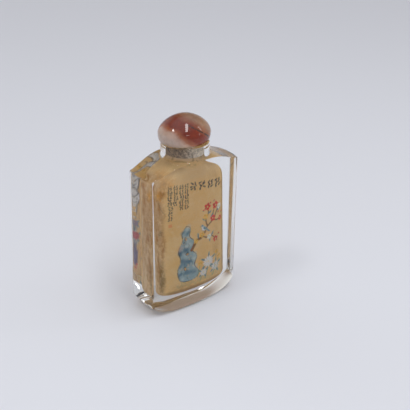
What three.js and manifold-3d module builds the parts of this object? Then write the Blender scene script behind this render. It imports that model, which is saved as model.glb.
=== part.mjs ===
// Inside-painted snuff bottle: a hollow crystal bottle and the agate stopper that rests on its lip.
// Millimetres, +Z up. The origin is the centre of the flat base and -Y is the main painted face.
import * as THREE from 'three';
import { mergeVertices } from 'three/addons/utils/BufferGeometryUtils.js';
import Module from 'manifold-3d';

const wasm = await Module();
wasm.setup();

// Crystal body: crowned broad faces, slightly bowed narrow sides, sloping shoulders
const BODY_HALF_WIDTH = 20;
const SIDE_HALF_DEPTH = 6.7;
const FACE_CROWN = 2.3;
const SIDE_BOW = 0.8;
const SHOULDER_CORNER_Z = 57;
const SHOULDER_CREST_Z = 61;
const CORNER_REACH = 14.4;
const CORNER_RISE = 4.9;
const CORNER_PULL_IN = 0.51;
const CORNER_PULL_UP = 0.65;
const BASE_INSET = 1.35;
const BASE_RISE = 3;

// Round neck with a flat lip
const NECK_RADIUS = 9;
const NECK_TOP_Z = 66.2;
const NECK_FILLET = 1.8;
const LIP_ROUND = 0.4;

// Cavity, ground out by hand through the bore: it leans a little, is deeper at the foot
// and has its left shoulder higher than its right one
const BORE_RADIUS = 4.4;
const BORE_FOOT_Z = 61.5;
const CAVITY_FLOOR_Z = 6.7;
const CAVITY_HALF_WIDTH = 14.75;
const CAVITY_HALF_DEPTH = 6.2;
const CAVITY_FOOT_HALF_DEPTH = 6.4;
const CAVITY_FLOOR_HALF_DEPTH = 5.5;
const CAVITY_CORNER = 3;
const CAVITY_SHOULDER_Z = 50.5;
const CAVITY_SHOULDER_TILT = 1.6;
const CAVITY_SQUARENESS = 2.5;
const CAVITY_LEAN = -0.038;
const CAVITY_LEAN_CENTRE_Z = 27;

// Stopper: an oval cabochon that rests a little off centre on the lip
const STOPPER_GAP = 0.3;
const STOPPER_HALF_LENGTH = 10.1;
const STOPPER_HALF_BREADTH = 8.9;
const STOPPER_RIM_HEIGHT = 3.2;
const STOPPER_DOME_HEIGHT = 6.9;
const STOPPER_FOOT_SHARE = 0.87;
const STOPPER_DOME_POWER = 1.15;
const STOPPER_OFFSET = -0.3;

// Facets
const ROUND_SEGMENTS = 64;
const CURVE_STEPS = 8;
const CROWN_STEPS = 16;

function toSolid(geometry) {
  geometry.deleteAttribute('normal');
  geometry.deleteAttribute('uv');
  const merged = mergeVertices(geometry, 1e-4);
  const corners = merged.index.array;
  const kept = [];
  for (let i = 0; i < corners.length; i += 3) {
    const [a, b, c] = corners.slice(i, i + 3);
    if (a !== b && b !== c && c !== a) kept.push(a, b, c);
  }
  return new wasm.Manifold(new wasm.Mesh({
    numProp: 3,
    vertProperties: new Float32Array(merged.attributes.position.array),
    triVerts: new Uint32Array(kept),
  }));
}

function toGeometry(solid) {
  const mesh = solid.getMesh();
  const geometry = new THREE.BufferGeometry();
  geometry.setAttribute('position', new THREE.BufferAttribute(mesh.vertProperties, 3));
  geometry.setIndex(new THREE.BufferAttribute(mesh.triVerts, 1));
  geometry.computeVertexNormals();
  return geometry;
}

// Plan of the body: crowned faces and bowed sides between sharp upright corners
function planShape() {
  const outline = [];
  for (let i = 0; i <= CROWN_STEPS; i += 1) {
    const share = (2 * i) / CROWN_STEPS - 1;
    const depth = SIDE_HALF_DEPTH + FACE_CROWN * (1 - share * share);
    outline.push(new THREE.Vector2(share * BODY_HALF_WIDTH, -depth));
  }
  for (let i = 1; i < CURVE_STEPS; i += 1) {
    const share = (2 * i) / CURVE_STEPS - 1;
    const width = BODY_HALF_WIDTH + SIDE_BOW * (1 - share * share);
    outline.push(new THREE.Vector2(width, share * SIDE_HALF_DEPTH));
  }
  const back = outline.map((point) => new THREE.Vector2(-point.x, -point.y));
  return new THREE.Shape([...outline, ...back]);
}

// An upright prism on that plan, rounded under along the base edge, and taller than the neck
function planPrism() {
  const geometry = new THREE.ExtrudeGeometry(planShape(), {
    depth: NECK_TOP_Z + BODY_HALF_WIDTH,
    bevelThickness: BASE_RISE,
    bevelSize: BASE_INSET,
    bevelOffset: -BASE_INSET,
    bevelSegments: 5,
  });
  geometry.translate(0, 0, BASE_RISE);
  return toSolid(geometry);
}

// Front outline of the body: broad rounded bottom corners and shoulders that sweep up to the neck
function frontPrism() {
  const w = BODY_HALF_WIDTH;
  const side = w + SIDE_BOW;
  const foot = w - CORNER_REACH;
  const rise = SHOULDER_CREST_Z - SHOULDER_CORNER_Z;
  const low = SHOULDER_CORNER_Z + 0.25 * rise;
  const high = SHOULDER_CREST_Z - 0.1 * rise;
  const pullX = w - CORNER_REACH * CORNER_PULL_IN;
  const pullZ = CORNER_RISE * CORNER_PULL_UP;
  const shape = new THREE.Shape();
  shape.moveTo(-foot, 0);
  shape.lineTo(foot, 0);
  shape.bezierCurveTo(pullX, 0, side, pullZ, side, CORNER_RISE);
  shape.lineTo(side, SHOULDER_CORNER_Z);
  shape.lineTo(w, SHOULDER_CORNER_Z);
  shape.bezierCurveTo(0.72 * w, low, 0.6 * w, high, 0.25 * w, SHOULDER_CREST_Z);
  shape.lineTo(-0.25 * w, SHOULDER_CREST_Z);
  shape.bezierCurveTo(-0.6 * w, high, -0.72 * w, low, -w, SHOULDER_CORNER_Z);
  shape.lineTo(-side, SHOULDER_CORNER_Z);
  shape.lineTo(-side, CORNER_RISE);
  shape.bezierCurveTo(-side, pullZ, -pullX, 0, -foot, 0);
  const geometry = new THREE.ExtrudeGeometry(shape, {
    depth: 2 * BODY_HALF_WIDTH,
    curveSegments: CURVE_STEPS,
    bevelEnabled: false,
  });
  geometry.translate(0, 0, -BODY_HALF_WIDTH);
  geometry.rotateX(Math.PI / 2);
  return toSolid(geometry);
}

function neckSolid() {
  const rootZ = SHOULDER_CORNER_Z;
  const filletZ = SHOULDER_CREST_Z - NECK_FILLET;
  const profile = new THREE.Path();
  profile.moveTo(0, rootZ);
  profile.lineTo(NECK_RADIUS + NECK_FILLET, rootZ);
  profile.lineTo(NECK_RADIUS + NECK_FILLET, filletZ);
  profile.quadraticCurveTo(NECK_RADIUS, filletZ, NECK_RADIUS, filletZ + 2 * NECK_FILLET);
  profile.lineTo(NECK_RADIUS, NECK_TOP_Z - LIP_ROUND);
  profile.lineTo(NECK_RADIUS - LIP_ROUND, NECK_TOP_Z);
  profile.lineTo(0, NECK_TOP_Z);
  const geometry = new THREE.LatheGeometry(profile.getPoints(CURVE_STEPS), ROUND_SEGMENTS);
  geometry.rotateX(Math.PI / 2);
  return toSolid(geometry);
}

// Rings of rounded-rectangle section, one above another and closed at both ends.
// A ring's squareness is 2 for an ellipse and grows towards a rectangle, and a ring with a tilt
// is lower on its right.
function ringLoft(rings) {
  const profile = rings.map((ring) => new THREE.Vector2(ring.halfWidth, ring.z));
  const geometry = new THREE.LatheGeometry(profile, ROUND_SEGMENTS);
  const { position } = geometry.attributes;
  const press = (wave, power) => Math.sign(wave) * Math.abs(wave) ** (2 / power);
  for (let i = 0; i <= ROUND_SEGMENTS; i += 1) {
    const turn = (2 * Math.PI * (i % ROUND_SEGMENTS)) / ROUND_SEGMENTS;
    rings.forEach((ring, row) => {
      const x = ring.halfWidth * press(Math.sin(turn), ring.squareness);
      const y = -ring.halfDepth * press(Math.cos(turn), ring.squareness);
      const z = ring.z - (ring.tilt ?? 0) * x;
      position.setXYZ(i * rings.length + row, x + (ring.shift ?? 0), y, z);
    });
  }
  return geometry;
}

// Half-width of the cavity against height, from its floor, up its sides and shoulders to the bore
function cavityProfile() {
  const w = CAVITY_HALF_WIDTH;
  const profile = new THREE.Path();
  profile.moveTo(w - CAVITY_CORNER, CAVITY_FLOOR_Z);
  profile.quadraticCurveTo(w, CAVITY_FLOOR_Z, w, CAVITY_FLOOR_Z + CAVITY_CORNER);
  profile.lineTo(w, CAVITY_SHOULDER_Z);
  const bendZ = BORE_FOOT_Z - 4;
  profile.bezierCurveTo(w, CAVITY_SHOULDER_Z + 5, 0.72 * w, CAVITY_SHOULDER_Z + 5.5, 0.52 * w, bendZ);
  profile.quadraticCurveTo(BORE_RADIUS, bendZ + 1.5, BORE_RADIUS, BORE_FOOT_Z);
  profile.lineTo(BORE_RADIUS, NECK_TOP_Z + 1);
  return profile.getPoints(CURVE_STEPS);
}

function cavityRing({ x: halfWidth, y: z }) {
  const { clamp, lerp, smoothstep } = THREE.MathUtils;
  const rounding = Math.max(0, 1 - (z - CAVITY_FLOOR_Z) / CAVITY_CORNER);
  const up = clamp((z - CAVITY_FLOOR_Z) / (CAVITY_SHOULDER_Z - CAVITY_FLOOR_Z), 0, 1);
  const intoBore = smoothstep(z, CAVITY_SHOULDER_Z, BORE_FOOT_Z);
  const depth = lerp(CAVITY_FOOT_HALF_DEPTH, CAVITY_HALF_DEPTH, up);
  const tuck = (depth - CAVITY_FLOOR_HALF_DEPTH) * (1 - Math.sqrt(1 - rounding * rounding));
  return {
    z,
    halfWidth,
    halfDepth: lerp(depth - tuck, BORE_RADIUS, intoBore),
    squareness: lerp(CAVITY_SQUARENESS, 2, intoBore),
    shift: CAVITY_LEAN * (z - CAVITY_LEAN_CENTRE_Z) * (1 - intoBore),
    tilt: ((CAVITY_SHOULDER_TILT / 2) * up ** 4 * (1 - intoBore)) / CAVITY_HALF_WIDTH,
  };
}

function cavitySolid() {
  const rings = cavityProfile().map(cavityRing);
  const closeRing = (ring) => ({ ...ring, halfWidth: 0, halfDepth: 0 });
  return toSolid(ringLoft([closeRing(rings[0]), ...rings, closeRing(rings.at(-1))]));
}

function stopperGeometry() {
  const rimZ = NECK_TOP_Z + STOPPER_GAP + STOPPER_RIM_HEIGHT;
  const ringAt = (share, z) => ({
    z,
    halfWidth: STOPPER_HALF_LENGTH * share,
    halfDepth: STOPPER_HALF_BREADTH * share,
    squareness: 2,
  });
  const rings = [ringAt(0, rimZ - STOPPER_RIM_HEIGHT)];
  for (let i = CURVE_STEPS; i > 0; i -= 1) {
    const angle = (Math.PI / 2) * (i / CURVE_STEPS);
    const share = STOPPER_FOOT_SHARE + (1 - STOPPER_FOOT_SHARE) * Math.cos(angle);
    rings.push(ringAt(share, rimZ - STOPPER_RIM_HEIGHT * Math.sin(angle)));
  }
  for (let i = 0; i <= CURVE_STEPS; i += 1) {
    const angle = (Math.PI / 2) * (i / CURVE_STEPS);
    const share = i === CURVE_STEPS ? 0 : Math.cos(angle) ** STOPPER_DOME_POWER;
    rings.push(ringAt(share, rimZ + STOPPER_DOME_HEIGHT * Math.sin(angle) ** STOPPER_DOME_POWER));
  }
  return toGeometry(toSolid(ringLoft(rings)));
}

function bottleGeometry() {
  const outside = frontPrism().add(neckSolid()).intersect(planPrism());
  return toGeometry(outside.subtract(cavitySolid()));
}

const crystal = new THREE.MeshStandardMaterial({ color: 0xd9dcd6, roughness: 0.05, metalness: 0 });
const agate = new THREE.MeshStandardMaterial({ color: 0x8c4a35, roughness: 0.15, metalness: 0 });

const bottle = new THREE.Mesh(bottleGeometry(), crystal);
bottle.name = 'bottle';

const stopper = new THREE.Mesh(stopperGeometry(), agate);
stopper.name = 'stopper';
stopper.position.x = STOPPER_OFFSET;

const snuffBottle = new THREE.Group();
snuffBottle.add(bottle, stopper);

export default snuffBottle;
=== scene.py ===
"""Looks of a crystal snuff bottle, painted on the wall of its cavity, and of its agate stopper.

The bottle is one closed mesh that runs from the base up the polished outside, over the lip and down
the ground bore to the cavity floor. The painting is colour on the cavity wall, seen through the crystal.
"""
import math

import bpy
import numpy as np
from mathutils import Matrix, Vector


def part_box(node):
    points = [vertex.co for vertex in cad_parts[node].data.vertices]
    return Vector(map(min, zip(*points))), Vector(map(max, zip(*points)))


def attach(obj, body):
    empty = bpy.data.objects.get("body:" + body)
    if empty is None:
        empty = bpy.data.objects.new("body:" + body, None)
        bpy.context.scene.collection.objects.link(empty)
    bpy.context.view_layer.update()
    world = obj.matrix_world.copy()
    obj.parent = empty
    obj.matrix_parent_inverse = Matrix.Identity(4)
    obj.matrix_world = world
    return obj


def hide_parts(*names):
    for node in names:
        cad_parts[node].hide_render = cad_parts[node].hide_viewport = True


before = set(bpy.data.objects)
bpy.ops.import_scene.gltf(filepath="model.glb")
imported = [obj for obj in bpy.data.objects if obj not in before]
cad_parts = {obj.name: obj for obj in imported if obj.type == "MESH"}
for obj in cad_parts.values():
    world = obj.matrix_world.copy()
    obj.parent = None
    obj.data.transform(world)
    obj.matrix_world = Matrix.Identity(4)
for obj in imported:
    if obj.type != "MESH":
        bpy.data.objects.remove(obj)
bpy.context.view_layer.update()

bl_info = {
    "name": "Inside-painted snuff bottle",
    "version": (1, 0, 0),
    "blender": (4, 5, 0),
    "location": "View3D > Sidebar > Snuff Bottle",
    "description": "Builds a crystal snuff bottle with a painted cavity and an agate stopper",
    "category": "Object",
}

MM = 0.001
# how squarely the curve rounds the bottom corners, inward and upward
CORNER_PULL_IN = 0.51
CORNER_PULL_UP = 0.65
# turns in radians from an upright corner to the two sides of its narrow bevel
SIDE_BEVEL_TURN = 0.02
FACE_BEVEL_TURN = 0.0065
# steps of the mesh, around each quarter and along each stretch
SIDE_COLUMNS = 22
FACE_COLUMNS = 50
BOTTOM_STEPS = 25
SIDE_STEPS = 8
SHOULDER_STEPS = 16
NECK_STEPS = 6
LIP_STEPS = 4
BORE_STEPS = 8
WALL_SPACING = 0.26 * MM
STOPPER_COLUMNS = 128
STOPPER_FOOT_STEPS = 14
STOPPER_DOME_STEPS = 40
BOTTLE_LOW, BOTTLE_HIGH = (Vector(corner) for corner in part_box("bottle"))
STOPPER_LOW, STOPPER_HIGH = (Vector(corner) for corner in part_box("stopper"))


def length(name, description, default):
    """A length property, in metres."""
    return bpy.props.FloatProperty(
        name=name, description=description, default=default, min=0.0, unit="LENGTH", precision=5
    )


def angle(name, description, degrees):
    """An angle property, given in degrees."""
    return bpy.props.FloatProperty(
        name=name, description=description, default=math.radians(degrees), unit="ROTATION"
    )


def colour(name, description, default):
    """A colour property, linear red, green and blue."""
    return bpy.props.FloatVectorProperty(
        name=name, description=description, default=default, min=0.0, max=1.0, size=3, subtype="COLOR"
    )


def ratio(name, description, default):
    """A plain number property."""
    return bpy.props.FloatProperty(name=name, description=description, default=default)


class CrystalSizes(bpy.types.PropertyGroup):
    """Sizes of the outside of the bottle."""

    half_width: length("Half width", "Half of the width of the broad face", 20 * MM)
    centre_depth: length("Centre depth", "Half of the depth at the middle of the broad face", BOTTLE_HIGH.y)
    crown: length("Crown", "How far the broad faces bow out between their edges", 2.3 * MM)
    shoulder_corner: length("Shoulder corner", "Height of the outer corners of the shoulders", 57 * MM)
    shoulder_crest: length("Shoulder crest", "Height of the shoulders at the neck", 61 * MM)
    shoulder_crown: length("Shoulder crown", "How far the shoulders bow up between their edges", 0.3 * MM)
    side_bow: length("Side bow", "How far the narrow sides bow out below the shoulders", 0.8 * MM)
    foot_bow: length("Foot bow", "How far the narrow sides bow out above the base", 0.4 * MM)
    corner_reach: length("Corner reach", "Width of the rounded bottom corners", 14.4 * MM)
    corner_rise: length("Corner rise", "Height of the rounded bottom corners", 4.9 * MM)
    base_inset: length("Base inset", "How far the rounding under the broad faces goes in", 1.35 * MM)
    base_rise: length("Base rise", "How far the rounding under the broad faces goes up", 3.0 * MM)
    edge_round: length("Edge round", "Softening of the ground edges", 0.5 * MM)
    neck_radius: length("Neck radius", "Radius of the neck", 9 * MM)
    neck_top: length("Neck top", "Height of the flat lip", BOTTLE_HIGH.z)
    neck_fillet: length("Neck fillet", "Size of the hollow curve at the foot of the neck", 1.8 * MM)
    lip_round: length("Lip round", "Rounding of the edges of the lip", 0.4 * MM)


class CavitySizes(bpy.types.PropertyGroup):
    """Sizes of the cavity that was ground out through the bore."""

    half_width: length("Half width", "Half of the width of the cavity", 14.75 * MM)
    half_depth: length("Half depth", "Half of the depth of the cavity at its shoulders", 6.2 * MM)
    foot_half_depth: length("Foot half depth", "Half of the depth of the cavity near its floor", 6.4 * MM)
    floor: length("Floor", "Height of the cavity floor", 6.7 * MM)
    corner: length("Corner", "Size of the rounded lower corners", 2.4 * MM)
    floor_half_depth: length("Floor half depth", "Half of the depth of the floor", 5.5 * MM)
    shoulder: length("Shoulder", "Height at which the shoulders begin", 50.5 * MM)
    bore_foot: length("Bore foot", "Height at which the shoulders meet the bore", 61.5 * MM)
    bore_radius: length("Bore radius", "Radius of the bore", 4.4 * MM)
    squareness: ratio("Squareness", "2 gives an oval section and more gives squarer ones", 2.5)
    throat_height: length("Throat height", "Height of the curve between the bore and the roof", 4 * MM)
    throat_share: ratio("Throat share", "Half width at its end, as a share of the cavity's", 0.52)
    shoulder_tilt: length("Shoulder tilt", "How much higher the left shoulder is than the right", 1.6 * MM)
    left_reach: ratio("Left reach", "How much wider the left half of the cavity is than the right", 0.027)
    left_flare: ratio("Left flare", "How much further the left half reaches at the front", 0.03)
    left_straighten: ratio("Left straighten", "How much more upright the left side is than the right", 0.028)
    lean: ratio("Lean", "Sideways drift of the cavity for each unit of height", -0.038)
    lean_centre: length("Lean centre", "Height at which the cavity is centred", 27 * MM)


class StopperSizes(bpy.types.PropertyGroup):
    """Sizes of the oval cabochon."""

    rim_height: length("Rim height", "Height of the widest line above the underside", 3.2 * MM)
    foot_share: ratio("Foot share", "Size of the underside as a share of the widest line", 0.87)
    dome_power: ratio("Dome power", "1 gives a half-ellipse and more gives a fuller rim", 1.15)


class Pigments(bpy.types.PropertyGroup):
    """Colours of the painting as they are seen through the crystal."""

    ground: colour("Ground", "Thin tan wash", (0.604, 0.287, 0.13))
    ground_dark: colour("Dark ground", "Tan wash where it is thicker", (0.434, 0.195, 0.076))
    ink: colour("Ink", "Fine outlines", (0.034, 0.023, 0.018))
    line: colour("Fine line", "Thin grey-brown outlines", (0.216, 0.162, 0.122))
    rock: colour("Rock", "Blue-grey wash", (0.133, 0.188, 0.209))
    rock_dark: colour("Dark rock", "Shaded blue-grey wash", (0.051, 0.076, 0.102))
    rock_light: colour("Light rock", "Lit blue-grey wash", (0.27, 0.314, 0.296))
    feather_blue: colour("Feather blue", "Wing feathers", (0.089, 0.162, 0.202))
    bark: colour("Bark", "Brown wood", (0.117, 0.068, 0.042))
    trunk: colour("Pale trunk", "Grey-white bark", (0.888, 0.701, 0.565))
    leaf: colour("Leaf", "Grey-green", (0.107, 0.15, 0.098))
    leaf_blue: colour("Blue leaf", "Blue-green", (0.098, 0.15, 0.162))
    red: colour("Red", "Rose red", (0.342, 0.051, 0.045))
    orange: colour("Orange", "Orange petals", (0.578, 0.209, 0.061))
    gold: colour("Gold", "Yellow hearts", (0.604, 0.361, 0.098))
    pale: colour("Pale petals", "Pink-white petals", (0.658, 0.527, 0.392))
    white: colour("White", "Warm white petals", (0.701, 0.617, 0.503))
    magenta: colour("Magenta", "Deep pink petals", (0.27, 0.027, 0.054))
    purple: colour("Purple", "Dull violet", (0.098, 0.084, 0.138))
    seal: colour("Seal red", "Three small red strokes", (0.434, 0.089, 0.045))
    stain: colour("Stain", "Orange-brown stain", (0.413, 0.144, 0.048))
    stain_dark: colour("Dark stain", "Brown stain", (0.162, 0.08, 0.037))
    side: colour("Side", "Dull wash on the narrow sides", (0.381, 0.246, 0.144))
    smudge: colour("Smudge", "Dark rubbed dirt", (0.098, 0.072, 0.048))
    edge: colour("Worn edge", "Dark rim of the wash", (0.162, 0.098, 0.058))


class StageSettings(bpy.types.PropertyGroup):
    """Where the camera stands and how the object is lit."""

    camera_turn: angle("Camera turn", "Turn of the camera round to the left", 38.85)
    camera_tilt: angle("Camera tilt", "How far the camera looks down", 26.41)
    camera_roll: angle("Camera roll", "Roll of the camera about its line of sight", 1.09)
    camera_distance: length("Camera distance", "Distance from the middle of the bottle", 284.1 * MM)
    camera_right: length("Camera right", "Shift of the camera to its right", 7.908 * MM)
    camera_up: length("Camera up", "Shift of the camera upward", 8.870 * MM)
    middle: length("Middle", "Height of the middle that the camera turns about", 30 * MM)
    lens: bpy.props.FloatProperty(name="Lens", description="Focal length", default=64.69, unit="CAMERA")


# ---------------------------------------------------------------- meshes of rings


def wave_power(value, power):
    """A sine or cosine raised to a power that keeps its sign."""
    return np.sign(value) * np.abs(value) ** power


def section(turns, half_width, half_depth, squareness, height, shift=0.0):
    """A level ring with the section of a rounded rectangle."""
    x = half_width * wave_power(np.cos(turns), 2 / squareness) + shift
    y = half_depth * wave_power(np.sin(turns), 2 / squareness)
    return np.stack([x, y, np.full_like(x, height)], axis=1)


def spread_turns(cavity):
    """Turn angles evenly spaced along the cavity wall, with one at each corner of the body."""
    fine = np.linspace(0, math.pi / 2, 4001)
    ring = section(fine, cavity.half_width, cavity.half_depth, cavity.squareness, 0.0)
    run = np.concatenate([[0.0], np.cumsum(np.linalg.norm(np.diff(ring, axis=0), axis=1))])
    corner = math.pi / 4
    corner_run = np.interp(corner, fine, run)
    side = np.interp(np.linspace(0, corner_run, SIDE_COLUMNS + 1), run, fine)
    face = np.interp(np.linspace(corner_run, run[-1], FACE_COLUMNS + 1), run, fine)
    beside = [corner - SIDE_BEVEL_TURN, corner, corner + FACE_BEVEL_TURN]
    quarter = np.concatenate([side[:-1], beside, face[1:]])
    half = np.concatenate([quarter[:-1], math.pi - quarter[:0:-1]])
    return np.concatenate([half, math.pi + half])


def mesh_of_rings(name, rings, band_materials):
    """A closed mesh through the rings, in order, with a point at each end."""
    count = len(rings[0])
    ends = np.stack([rings[0].mean(axis=0), rings[-1].mean(axis=0)])
    points = np.concatenate([*rings, ends])
    here = np.arange(count)
    after = (here + 1) % count
    faces = []
    materials = []
    for band in range(len(rings) - 1):
        low, high = band * count, (band + 1) * count
        faces += np.stack([low + here, low + after, high + after, high + here], axis=1).tolist()
        materials += [band_materials[band]] * count
    last = (len(rings) - 1) * count
    start_pole = len(points) - 2
    faces += [(start_pole, b, a) for a, b in zip(here.tolist(), after.tolist())]
    faces += [(start_pole + 1, last + a, last + b) for a, b in zip(here.tolist(), after.tolist())]
    materials += [band_materials[0]] * count + [band_materials[-1]] * count
    mesh = bpy.data.meshes.new(name)
    mesh.from_pydata(points.tolist(), [], faces)
    mesh.polygons.foreach_set("material_index", materials)
    mesh.shade_smooth()
    mesh.validate()
    piece = bpy.data.objects.new(name, mesh)
    bpy.context.scene.collection.objects.link(piece)
    return piece


def quadratic(start, pull, end, share):
    """A point or points of a quadratic curve."""
    rest = 1 - share
    return rest**2 * start + 2 * rest * share * pull + share**2 * end


def bezier(start, start_pull, end_pull, end, share):
    """A point or points of a cubic curve."""
    rest = 1 - share
    return (
        rest**3 * start
        + 3 * rest**2 * share * start_pull
        + 3 * rest * share**2 * end_pull
        + share**3 * end
    )


# ---------------------------------------------------------------- outside of the bottle


def face_depth(sizes, x):
    """Half of the depth of the body at x: the broad faces are crowned."""
    return sizes.centre_depth - sizes.crown * (x / sizes.half_width) ** 2


def shoulder_height(sizes, x):
    """Height of the shoulder at x: it sweeps up from the corner and levels off at the neck."""
    rise = sizes.shoulder_crest - sizes.shoulder_corner
    share = np.linspace(0, 1, 60)
    across = sizes.half_width * bezier(1.0, 0.72, 0.6, 0.25, share)
    up = sizes.shoulder_corner + rise * bezier(0.0, 0.25, 0.9, 1.0, share)
    return np.interp(np.abs(x), across[::-1], up[::-1])


def plan_ring(turns, sizes, squareness, half_width, inset, height):
    """x and y of a ring on the body's plan, with its corners softened."""
    along = wave_power(np.cos(turns), 2 / squareness)
    across = wave_power(np.sin(turns), 2 / squareness)
    reach = np.maximum(np.abs(along), np.abs(across))
    along, across = along / reach, across / reach
    bow = sizes.foot_bow + (sizes.side_bow - sizes.foot_bow) * np.clip(height / sizes.shoulder_corner, 0, 1)
    x = along * (half_width + bow * (1 - across**2))
    y = across * (face_depth(sizes, x) - inset)
    corner = np.isclose(np.abs(along), np.abs(across), atol=1e-6)
    pull = 0.3 * sizes.edge_round * corner
    return x - np.sign(x) * pull, y - np.sign(y) * pull


def bottom_rings(turns, sizes, squareness):
    """Rings from the flat base round the bottom corners to the upright sides."""
    rings = []
    for share in np.linspace(0, 1, BOTTOM_STEPS):
        height = sizes.corner_rise * bezier(0.0, 0.0, CORNER_PULL_UP, 1.0, share)
        half_width = sizes.half_width - sizes.corner_reach * bezier(1.0, CORNER_PULL_IN, 0.0, 0.0, share)
        left = max(0.0, 1 - height / sizes.base_rise)
        inset = sizes.base_inset * (1 - math.sqrt(1 - left * left))
        x, y = plan_ring(turns, sizes, squareness, half_width, inset, height)
        rings.append(np.stack([x, y, np.full_like(x, height)], axis=1))
    return rings


def top_surface(sizes, x, y):
    """Height of the shoulders, with the hollow curve at the foot of the neck."""
    away = np.clip((np.hypot(x, y) - sizes.neck_radius) / sizes.neck_fillet, 0, 1)
    climb = 1 - np.sqrt(away)
    fillet = sizes.shoulder_crest - sizes.neck_fillet + 2 * sizes.neck_fillet * climb**2
    rim = face_depth(sizes, x)
    shoulder = shoulder_height(sizes, x) + sizes.shoulder_crown * (1 - (y / rim) ** 2)
    return np.where(away < 1, np.maximum(shoulder, fillet), shoulder)


def side_rings(turns, sizes, squareness):
    """Rings up the sides to the softened edge of the shoulders."""
    x, y = plan_ring(turns, sizes, squareness, sizes.half_width, 0.0, sizes.shoulder_corner)
    top = top_surface(sizes, x, y)
    rings = []
    for share in np.linspace(0, 1, SIDE_STEPS)[1:]:
        z = sizes.corner_rise + share * (top - sizes.edge_round - sizes.corner_rise)
        x, y = plan_ring(turns, sizes, squareness, sizes.half_width, 0.0, z)
        rings.append(np.stack([x, y, z], axis=1))
    return rings


def shoulder_rings(turns, sizes, squareness):
    """Rings over the edge of the shoulders and in to the foot of the neck."""
    x, y = plan_ring(turns, sizes, squareness, sizes.half_width, 0.0, sizes.shoulder_corner)
    neck_x, neck_y = sizes.neck_radius * np.cos(turns), sizes.neck_radius * np.sin(turns)
    gap = np.hypot(neck_x - x, neck_y - y)
    edge = np.minimum(0.7 * sizes.edge_round, 0.3 * gap)
    rings = []
    for inward, down in ((0.3 * edge, 0.3 * sizes.edge_round), (edge, 0.0)):
        share = inward / gap
        ring_x, ring_y = x + share * (neck_x - x), y + share * (neck_y - y)
        rings.append(np.stack([ring_x, ring_y, top_surface(sizes, ring_x, ring_y) - down], axis=1))
    edge_share = edge / gap
    for share in 1 - np.linspace(1, 0, SHOULDER_STEPS)[1:] ** 1.6:
        mix = edge_share + share * (1 - edge_share)
        ring_x, ring_y = x + mix * (neck_x - x), y + mix * (neck_y - y)
        rings.append(np.stack([ring_x, ring_y, top_surface(sizes, ring_x, ring_y)], axis=1))
    return rings


def neck_rings(turns, sizes, cavity):
    """Rings up the neck and over the flat lip to the mouth of the bore."""
    rings = []
    foot = sizes.shoulder_crest + sizes.neck_fillet
    for height in np.linspace(foot, sizes.neck_top - sizes.lip_round, NECK_STEPS)[1:]:
        rings.append(section(turns, sizes.neck_radius, sizes.neck_radius, 2, height))
    for bend in np.linspace(0, math.pi / 2, LIP_STEPS)[1:]:
        radius = sizes.neck_radius - sizes.lip_round * (1 - math.cos(bend))
        height = sizes.neck_top - sizes.lip_round * (1 - math.sin(bend))
        rings.append(section(turns, radius, radius, 2, height))
    for bend in np.linspace(0, math.pi / 2, LIP_STEPS):
        radius = cavity.bore_radius + sizes.lip_round * (1 - math.sin(bend))
        height = sizes.neck_top - sizes.lip_round * (1 - math.cos(bend))
        rings.append(section(turns, radius, radius, 2, height))
    return rings


# ---------------------------------------------------------------- cavity


def smooth_step(value, low, high):
    """Rises smoothly from 0 at low to 1 at high."""
    share = np.clip((value - low) / (high - low), 0, 1)
    return share * share * (3 - 2 * share)


def cavity_profile(cavity):
    """Half width and height of the cavity, from the foot of the bore down to the floor."""
    width, shoulder, foot = cavity.half_width, cavity.shoulder, cavity.bore_foot
    bend, bend_width = foot - cavity.throat_height, cavity.throat_share * width
    fine = np.linspace(0, 1, 60)
    stretches = (
        # the throat, the sloping roof, the upright wall and the corner of the floor
        (
            quadratic(cavity.bore_radius, cavity.bore_radius, bend_width, fine),
            quadratic(foot, bend + 1.5 * MM, bend, fine),
        ),
        (
            bezier(bend_width, 0.72 * width, width, width, fine),
            bezier(bend, shoulder + 5.5 * MM, shoulder + 5 * MM, shoulder, fine),
        ),
        (np.full_like(fine, width), np.linspace(shoulder, cavity.floor + cavity.corner, len(fine))),
        (width - cavity.corner * fine**2, cavity.floor + cavity.corner * (1 - fine) ** 2),
    )
    widths = [stretches[0][0]] + [across[1:] for across, _ in stretches[1:]]
    heights = [stretches[0][1]] + [up[1:] for _, up in stretches[1:]]
    return np.concatenate(widths), np.concatenate(heights)


def even_steps(widths, heights, spacing):
    """The same profile with evenly spaced points."""
    run = np.concatenate([[0.0], np.cumsum(np.hypot(np.diff(widths), np.diff(heights)))])
    even = np.linspace(0, run[-1], int(run[-1] / spacing) + 1)
    return np.interp(even, run, widths), np.interp(even, run, heights)


def cavity_ring(turns, cavity, half_width, height):
    """One ring of the cavity wall."""
    left = max(0.0, 1 - (height - cavity.floor) / cavity.corner)
    up = min(1.0, max(0.0, (height - cavity.floor) / (cavity.shoulder - cavity.floor)))
    depth = cavity.foot_half_depth + (cavity.half_depth - cavity.foot_half_depth) * up
    tuck = (depth - cavity.floor_half_depth) * (1 - math.sqrt(max(0.0, 1 - left * left)))
    into_bore = float(smooth_step(height, cavity.shoulder, cavity.bore_foot))
    half_depth = (1 - into_bore) * (depth - tuck) + into_bore * cavity.bore_radius
    squareness = (1 - into_bore) * cavity.squareness + into_bore * 2
    ring = section(turns, half_width, half_depth, squareness, height)
    wider = cavity.left_reach - cavity.left_flare * ring[:, 1] / half_depth
    wider -= cavity.left_straighten * (height - cavity.lean_centre) / cavity.half_width
    ring[:, 0] *= np.where(ring[:, 0] < 0, 1 + wider * (1 - into_bore), 1.0)
    ring[:, 0] += cavity.lean * (height - cavity.lean_centre) * (1 - into_bore)
    tilt = 0.5 * cavity.shoulder_tilt * up**4 * (1 - into_bore)
    ring[:, 2] -= tilt * ring[:, 0] / cavity.half_width
    return ring


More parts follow.
